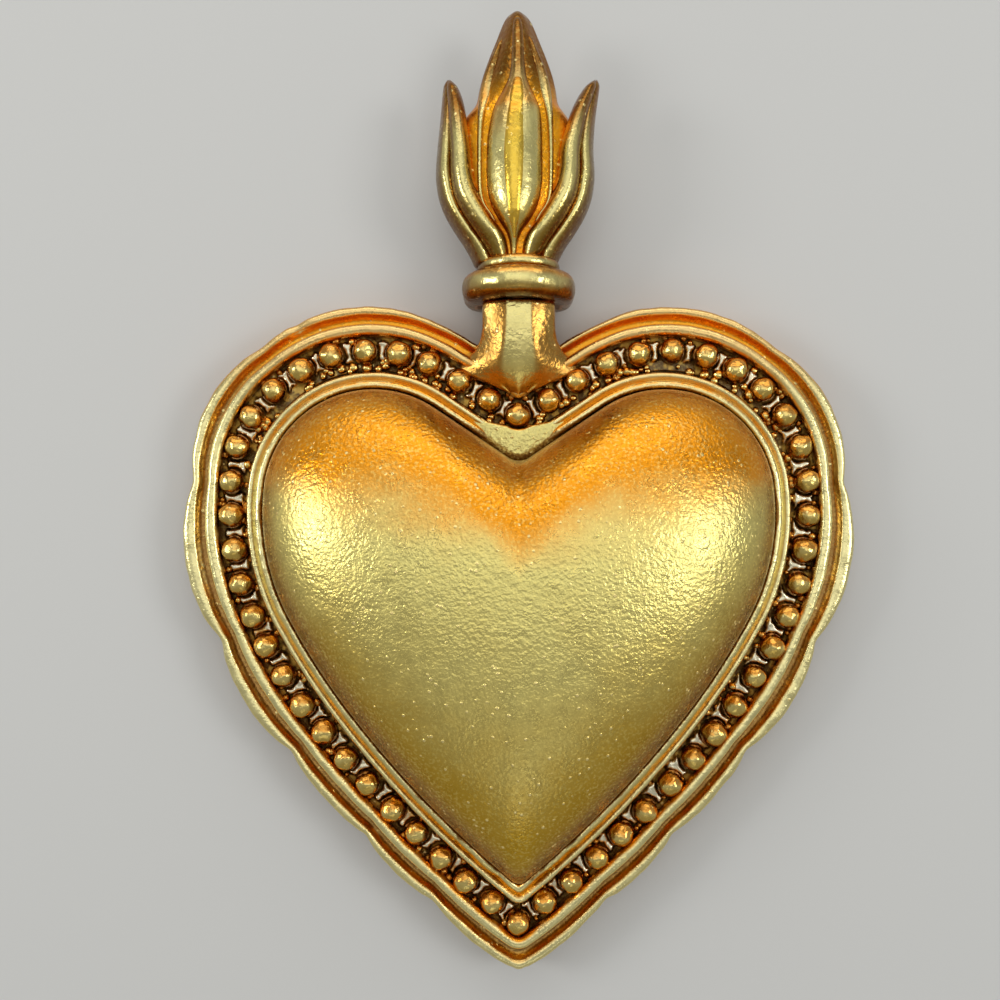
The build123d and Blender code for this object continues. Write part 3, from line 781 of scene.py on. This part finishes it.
# %% [markdown]
# Old lacquer gathers in the low places, which also take painted shade, and a polishing cloth only reaches the
# high ones.
# To tell them apart, the front is measured on a fine grid, and every point is set against the mean height
# close around it. The results stay on the meshes as attributes, recess and crest.
# A mean over a wider square finds the valley of the dome under the cleft, and is kept as hollow, for painted
# shade in that valley.
# Side walls and backs lie below and behind the front, and take a painted shade that deepens towards the
# table.

# %% Low and high places
grid_step, grid_margin, above_charm = 0.2 * mm, Vector((4, 4, 0)) * mm, 0.03
close_reach, wide_reach = 5, 14
wall_top = 3.4
front_points, front_faces = [], []
for piece in pieces:
    offset = len(front_points)
    front_points += [vert.co.copy() for vert in piece.data.vertices]
    front_faces += [[n + offset for n in face.vertices] for face in piece.data.polygons]
front = BVHTree.FromPolygons(front_points, front_faces)
corner = Vector(solid_box[0]) - grid_margin
far_corner = Vector(solid_box[1]) + grid_margin
columns = int((far_corner.x - corner.x) / grid_step)
lines = int((far_corner.y - corner.y) / grid_step)
heights = np.zeros((lines, columns))
down = Vector((0, 0, -1))
for row in range(lines):
    for column in range(columns):
        start = Vector((corner.x + column * grid_step, corner.y + row * grid_step, above_charm))
        hit = front.ray_cast(start, down)[0]
        heights[row, column] = hit.z if hit else 0.0


def mean_height(reach):
    """The mean of the heights in a square of this reach in grid steps, by running sums."""
    wide = np.pad(heights, reach + 1, mode="edge").cumsum(0).cumsum(1)
    span = 2 * reach + 1
    total = wide[span:, span:] - wide[:-span, span:] - wide[span:, :-span] + wide[:-span, :-span]
    return total[:lines, :columns] / span ** 2


def read_points(mesh, what):
    """The places or the normals of a mesh's points, as rows of three."""
    values = np.empty(3 * len(mesh.vertices))
    mesh.vertices.foreach_get(what, values)
    return values.reshape(-1, 3)


close_mean, wide_mean = mean_height(close_reach), mean_height(wide_reach)
for piece in pieces:
    across, along, height = read_points(piece.data, "co").T
    facing_up = read_points(piece.data, "normal")[:, 2]
    column = np.clip(np.rint((across - corner.x) / grid_step).astype(int), 0, columns - 1)
    row = np.clip(np.rint((along - corner.y) / grid_step).astype(int), 0, lines - 1)
    behind = (height < wall_top * mm) | (facing_up < -0.1)
    # painted shade on walls and backs, darker towards the table
    wall_shade = 0.5 * np.maximum(0, 1 - height / (wall_top * mm))
    sunk = np.where(behind, wall_shade, (close_mean[row, column] - height) / mm)
    wide_sunk = (wide_mean[row, column] - height) / mm
    for name, values, most in (("recess", sunk, 1), ("crest", -sunk, 1), ("hollow", wide_sunk, 2)):
        attribute = piece.data.attributes.new(name, "FLOAT", "POINT")
        attribute.data.foreach_set("value", np.clip(values, 0, most).astype(np.float32))
print("heights measured:", heights.size, "highest in mm:", round(float(heights.max()) / mm, 2))

# %% [markdown]
# The finish is sprayed gilding over a casting. It is pale and a little green where the light meets it flat.
# Painted reflection turns it deep orange on slopes that look towards the flame and near the flame, and
# painted shade darkens steep slopes, slopes turned away, the dome's valley and the lowest parts. Brown to
# black in low places is old lacquer together with painted shade. A fine orange-peel grain breaks up every
# reflection, and a few raised specks stand out of it, coloured bright as painted glints.
# One function mixes all of these, and each finish has its own amounts in the table below it.

# %% Gilding
# the oranges are painted reflection of warm light on slopes towards the flame; the valley, dirt and low
# browns are painted shade, the dirt brown also old lacquer; the speck colour is a painted glint
gilt_orange, gilt_brown = (0.88, 0.33, 0.010), (0.27, 0.125, 0.010)
torch_pale, torch_deep = (0.80, 0.70, 0.28), (0.70, 0.53, 0.14)
torch_orange, torch_amber = (0.66, 0.25, 0.015), (0.46, 0.17, 0.010)
flame_orange, flame_amber, channel_amber = (0.90, 0.32, 0.010), (0.60, 0.22, 0.012), (0.60, 0.30, 0.05)
valley_shade_brown, tip_brown, dirt_and_shade_brown = (0.26, 0.11, 0.010), (0.24, 0.09, 0.008), (0.16, 0.07, 0.012)
low_shade_dark, low_shade_pale = (0.085, 0.040, 0.008), (0.46, 0.27, 0.045)
reflected_flame_orange, mottle_gold, speck_glint_gold = (0.92, 0.38, 0.012), (1.0, 0.82, 0.24), (1.0, 0.80, 0.32)
speck_spacing = 0.85


def new_metal(name):
    """A new metal, with its nodes, its links and its shader at hand."""
    paint = bpy.data.materials.new(name)
    paint.use_nodes = True
    shader = paint.node_tree.nodes["Principled BSDF"]
    set_inputs(shader, {"Metallic": 1.0})
    return paint, paint.node_tree.nodes, paint.node_tree.links, shader


def gilding(name, edge, amber, edge_side, pale=torch_pale, deep=torch_deep, orange=torch_orange,
            flame_side=(0.08, 0.45), grain=(0.45, 0.08), gloss=0.25, amber_at=(0.35, 0.65),
            brown_at=(0.70, 1.10), specks=0.8, worn_share=0.6, edge_by="Z", hollow_share=0.0,
            tips=None, low=None, mottle=0.1, flame_reflection_at=None):
    """A gilt finish. The grain is its size and depth in mm, gloss the roughness of the clean metal.
    The flame side is the slope towards the flame where painted orange reflection sets in, the edge side how
    steep a slope must be, or how far turned sideways, to take the edge colour as painted shade. Amber and
    brown, for old lacquer and painted shade, start at one depth and are full at another, brown tips and
    painted orange reflection near the flame likewise along Y, and a painted shade, darker and mottled,
    towards low places along Z."""
    paint, nodes, links, shader = new_metal(name)
    set_inputs(shader, {"Coat Weight": 0.12, "Coat Roughness": 0.22})

    def add(kind, **values):
        node = nodes.new("ShaderNode" + kind)
        for key, value in values.items():
            setattr(node, key, value)
        return node

    def spread(source, least, most, start=0.0, end=1.0):
        """Maps a value between least and most to start and end."""
        node = add("MapRange", interpolation_type="SMOOTHSTEP")
        links.new(source, node.inputs["Value"])
        set_inputs(node, {"From Min": least, "From Max": most, "To Min": start, "To Max": end})
        return node.outputs["Result"]

    def figure(operation, first, second):
        node = add("Math", operation=operation)
        for socket, value in zip(node.inputs, (first, second)):
            if isinstance(value, float):
                socket.default_value = value
            else:
                links.new(value, socket)
        return node.outputs["Value"]

    def tint(share, under, over):
        """One colour laid over another."""
        node = add("Mix", data_type="RGBA")
        links.new(share, node.inputs[0])
        for socket, colour in ((node.inputs[6], under), (node.inputs[7], over)):
            if isinstance(colour, tuple):
                socket.default_value = (*colour, 1)
            else:
                links.new(colour, socket)
        return node.outputs[2]

    place = add("TexCoord")

    def cloud(size, detail=2.0):
        node = add("TexNoise")
        links.new(place.outputs["Object"], node.inputs["Vector"])
        set_inputs(node, {"Scale": 1 / (size * mm), "Detail": detail})
        return node.outputs["Fac"]

    def between(axis, ends, most):
        """Grows from 0 at the first to most at the second of two places in mm along an axis."""
        return spread(where.outputs[axis], ends[0] * mm, ends[1] * mm, 0.0, most)

    def uneven(size, amount):
        return figure("MULTIPLY", figure("SUBTRACT", cloud(size, 3.0), 0.5), amount)

    def measured(attribute):
        return add("Attribute", attribute_name=attribute).outputs["Fac"]

    facing, where = add("SeparateXYZ"), add("SeparateXYZ")
    links.new(place.outputs["Normal"], facing.inputs["Vector"])
    links.new(place.outputs["Object"], where.inputs["Vector"])
    # painted reflection: slopes that face the flame, and places near the flame, take orange in place of the
    # warm light they mirror
    lean = figure("ADD", facing.outputs["Y"], uneven(5.0, 0.2))
    warm_reflection = spread(lean, *flame_side)
    if flame_reflection_at:
        flame_reflection_share = between("Y", flame_reflection_at, 0.8)
        warm_reflection = figure("MAXIMUM", warm_reflection, flame_reflection_share)
        amber = tint(flame_reflection_share, amber, reflected_flame_orange)
    # painted shade: slopes turned away from the flame darken towards the deep colour
    away = spread(lean, 0.05, -0.5)
    # painted shade: steep slopes, or slopes turned sideways, take the dark edge colour
    turned_away = facing.outputs["Z"] if edge_by == "Z" else figure("ABSOLUTE", facing.outputs["X"], 0.0)
    less_when_warm = figure("SUBTRACT", 0.85, figure("MULTIPLY", warm_reflection, 0.5))
    steep = figure("MULTIPLY", spread(turned_away, *edge_side), less_when_warm)

    # low places: old lacquer together with painted shade, amber first and brown to black deeper down
    lacquer_and_shade = figure("ADD", measured("recess"), uneven(1.1, 0.22))
    amber_lacquer_and_shade = spread(lacquer_and_shade, *amber_at, 0.0, 0.9)
    brown = spread(lacquer_and_shade, *brown_at, 0.0, 0.92)
    worn = spread(measured("crest"), 0.15, 0.45, 0.0, worn_share)
    worn = figure("MULTIPLY", worn, spread(facing.outputs["Z"], 0.35, 0.75))
    # painted shade in the dome's valley under the cleft
    hollow = spread(measured("hollow"), 0.15, 0.9, 0.0, hollow_share)

    colour = tint(away, pale, deep)
    colour = tint(warm_reflection, colour, orange)
    colour = tint(steep, colour, edge)
    colour = tint(worn, colour, pale)
    colour = tint(amber_lacquer_and_shade, colour, amber)
    colour = tint(hollow, colour, valley_shade_brown)
    if tips:
        colour = tint(between("Y", tips, 0.95), colour, tip_brown)
    colour = tint(brown, colour, dirt_and_shade_brown)
    # painted shade, darker and mottled towards the bottom of the beads and the channel
    if low:
        low_shade = tint(spread(cloud(1.2), 0.46, 0.60), low_shade_dark, low_shade_pale)
        colour = tint(between("Z", low, 0.95), colour, low_shade)
    grain_size, grain_depth = grain
    colour = tint(spread(cloud(grain_size * 0.8), 0.50, 0.66, 0.0, mottle), colour, mottle_gold)

    # raised specks, coloured bright as painted glints
    speck = add("TexVoronoi")
    links.new(place.outputs["Object"], speck.inputs["Vector"])
    set_inputs(speck, {"Scale": 1 / (speck_spacing * mm)})
    speck_field = spread(cloud(1.6), 0.50, 0.56, 0.0, specks)
    dot = figure("MULTIPLY", spread(speck.outputs["Distance"], 0.24, 0.12), speck_field)
    colour = tint(dot, colour, speck_glint_gold)
    links.new(colour, shader.inputs["Base Color"])

    clean_rough = spread(cloud(1.7, 3.0), 0.3, 0.7, gloss - 0.05, gloss + 0.08)
    links.new(figure("ADD", clean_rough, figure("MULTIPLY", brown, 0.22)), shader.inputs["Roughness"])

    peel = figure("ADD", cloud(grain_size, 2.0), figure("MULTIPLY", cloud(grain_size * 3.2, 2.0), 0.6))
    bump = add("Bump")
    set_inputs(bump, {"Strength": 0.6, "Distance": grain_depth * mm})
    links.new(figure("ADD", peel, figure("MULTIPLY", dot, 0.6)), bump.inputs["Height"])
    links.new(bump.outputs["Normal"], shader.inputs["Normal"])
    return paint


amounts = {
    "dome": dict(
        pale=(0.78, 0.68, 0.23), deep=(0.60, 0.35, 0.020), orange=gilt_orange, edge=gilt_brown,
        amber=gilt_brown, flame_side=(0.00, 0.30), edge_side=(0.90, 0.58), grain=(0.36, 0.17), gloss=0.30,
        amber_at=(0.25, 0.5), brown_at=(0.90, 1.40), specks=0.9, worn_share=0.0, hollow_share=0.85,
        mottle=0.32),
    "border": dict(
        pale=(0.84, 0.75, 0.36), deep=(0.74, 0.58, 0.18), orange=gilt_orange, edge=(0.40, 0.19, 0.022),
        amber=(0.26, 0.105, 0.010), flame_side=(0.10, 0.50), edge_side=(0.60, 0.25), grain=(0.35, 0.07),
        gloss=0.26, amber_at=(0.13, 0.36), brown_at=(0.75, 1.3), worn_share=0.5, flame_reflection_at=(9.0, 16.5)),
    "channel": dict(
        pale=(0.80, 0.74, 0.54), deep=(0.70, 0.60, 0.36), orange=channel_amber, edge=gilt_brown,
        amber=channel_amber, flame_side=(0.5, 0.9), edge_side=(0.6, 0.3), grain=(0.25, 0.06), gloss=0.28,
        amber_at=(0.34, 0.46), brown_at=(0.42, 0.60), low=(4.92, 4.66)),
    "bead": dict(
        pale=(0.80, 0.64, 0.22), deep=(0.62, 0.40, 0.07), orange=(0.74, 0.26, 0.012),
        edge=(0.30, 0.12, 0.012), amber=(0.46, 0.17, 0.015), flame_side=(-0.05, 0.35),
        edge_side=(0.88, 0.50), grain=(0.40, 0.10), gloss=0.20, amber_at=(0.05, 0.35),
        brown_at=(0.40, 0.80), worn_share=0.2, low=(4.75, 4.35)),
    "torch": dict(
        deep=(0.40, 0.21, 0.022), edge=(0.17, 0.065, 0.008), amber=torch_amber, edge_side=(0.86, 0.48),
        worn_share=0.15),
    "stem": dict(
        edge=(0.42, 0.17, 0.012), amber=torch_orange, flame_side=(0.20, 0.60), edge_side=(0.08, 0.28),
        grain=(0.45, 0.10), amber_at=(1.2, 1.5), brown_at=(1.2, 1.5), worn_share=0.1, edge_by="X"),
    "core": dict(
        pale=(0.95, 0.40, 0.012), deep=(0.80, 0.31, 0.012), orange=flame_orange, edge=(0.30, 0.12, 0.010),
        amber=flame_orange, edge_side=(0.50, 0.15), brown_at=(1.30, 1.60), worn_share=0.0, tips=(39.5, 43.5)),
    "petal": dict(
        edge=(0.30, 0.13, 0.015), amber=flame_amber, flame_side=(0.06, 0.36), edge_side=(0.76, 0.40),
        worn_share=0.15, tips=(39.5, 44.5)),
    "band": dict(
        pale=(0.86, 0.58, 0.07), deep=(0.80, 0.48, 0.05), edge=(0.55, 0.22, 0.015), amber=flame_amber,
        flame_side=(0.06, 0.36), edge_side=(0.80, 0.45), worn_share=0.1, tips=(39.5, 44.5)),
    "rib": dict(
        deep=(0.32, 0.18, 0.02), edge=(0.14, 0.05, 0.006), amber=torch_amber, edge_side=(0.84, 0.52),
        worn_share=0.1, tips=(35.0, 40.5)),
    "land": dict(
        pale=(0.72, 0.62, 0.22), orange=gilt_orange, edge=(0.60, 0.36, 0.06), amber=gilt_brown,
        flame_side=(0.30, 0.70), edge_side=(0.60, 0.25), grain=(0.40, 0.24), gloss=0.34,
        amber_at=(0.30, 0.60), worn_share=0.2, mottle=0.3),
}
slot_finish = {"dome_gold": "dome", "border_gold": "border", "tray_gold": "channel", "bead_gold": "bead",
               "torch_gold": "torch"}
own_finish = {"stem": "stem", "core": "core", "petal": "petal", "veins": "petal", "fluted_band": "band",
              "cleft_flat": "land"}
finishes = {name: gilding(name + "_gilding", **shares) for name, shares in amounts.items()}
for piece in pieces:
    usual = "rib" if "_rib_" in piece.name else slot_finish[piece["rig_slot"]]
    piece.data.materials.append(finishes[own_finish.get(piece.name, usual)])
print("gilt finishes:", sorted(finishes))

# %% [markdown]
# The back was never gilded: it is plain brass sheet with a drawn wire loop, dull and a little stained.
# These nodes keep their own solids, so their finish reads nothing but where each point lies.

# %% Bare brass behind
stain_scale, mark_scale, mark_depth = 130, 2600, 0.03


def bare_brass(name, clean, stained, roughness, stretch):
    """Dull brass. Stretch lengthens the marks along X, as rolling or drawing does."""
    paint, nodes, links, shader = new_metal(name)
    place, turn = nodes.new("ShaderNodeTexCoord"), nodes.new("ShaderNodeMapping")
    links.new(place.outputs["Object"], turn.inputs["Vector"])
    set_inputs(turn, {"Scale": (1 / stretch, 1, 1)})
    stain, marks = nodes.new("ShaderNodeTexNoise"), nodes.new("ShaderNodeTexNoise")
    links.new(place.outputs["Object"], stain.inputs["Vector"])
    links.new(turn.outputs["Vector"], marks.inputs["Vector"])
    set_inputs(stain, {"Scale": stain_scale, "Detail": 5})
    set_inputs(marks, {"Scale": mark_scale, "Detail": 3})
    blend = nodes.new("ShaderNodeValToRGB")
    for stop, position, colour in zip(blend.color_ramp.elements, (0.38, 0.66), (clean, stained)):
        stop.position = position
        stop.color = (*colour, 1)
    links.new(stain.outputs["Fac"], blend.inputs["Fac"])
    links.new(blend.outputs["Color"], shader.inputs["Base Color"])
    wear = nodes.new("ShaderNodeMapRange")
    set_inputs(wear, {"To Min": roughness - 0.1, "To Max": roughness + 0.12})
    links.new(marks.outputs["Fac"], wear.inputs["Value"])
    links.new(wear.outputs["Result"], shader.inputs["Roughness"])
    bump = nodes.new("ShaderNodeBump")
    set_inputs(bump, {"Strength": 0.4, "Distance": mark_depth * mm})
    links.new(marks.outputs["Fac"], bump.inputs["Height"])
    links.new(bump.outputs["Normal"], shader.inputs["Normal"])
    return paint


sheet_brass = bare_brass("sheet_brass", (0.62, 0.47, 0.20), (0.42, 0.28, 0.10), 0.42, 6)
wire_brass = bare_brass("wire_brass", (0.70, 0.54, 0.24), (0.46, 0.32, 0.12), 0.30, 3)
bare_finish = {"back_plate": sheet_brass, "hanger_barrel": wire_brass, "hanger_loop": wire_brass,
               "torch_pin": wire_brass}
for name, finish in bare_finish.items():
    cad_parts[name].data.materials.clear()
    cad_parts[name].data.materials.append(finish)
print("bare brass on:", sorted(bare_finish))
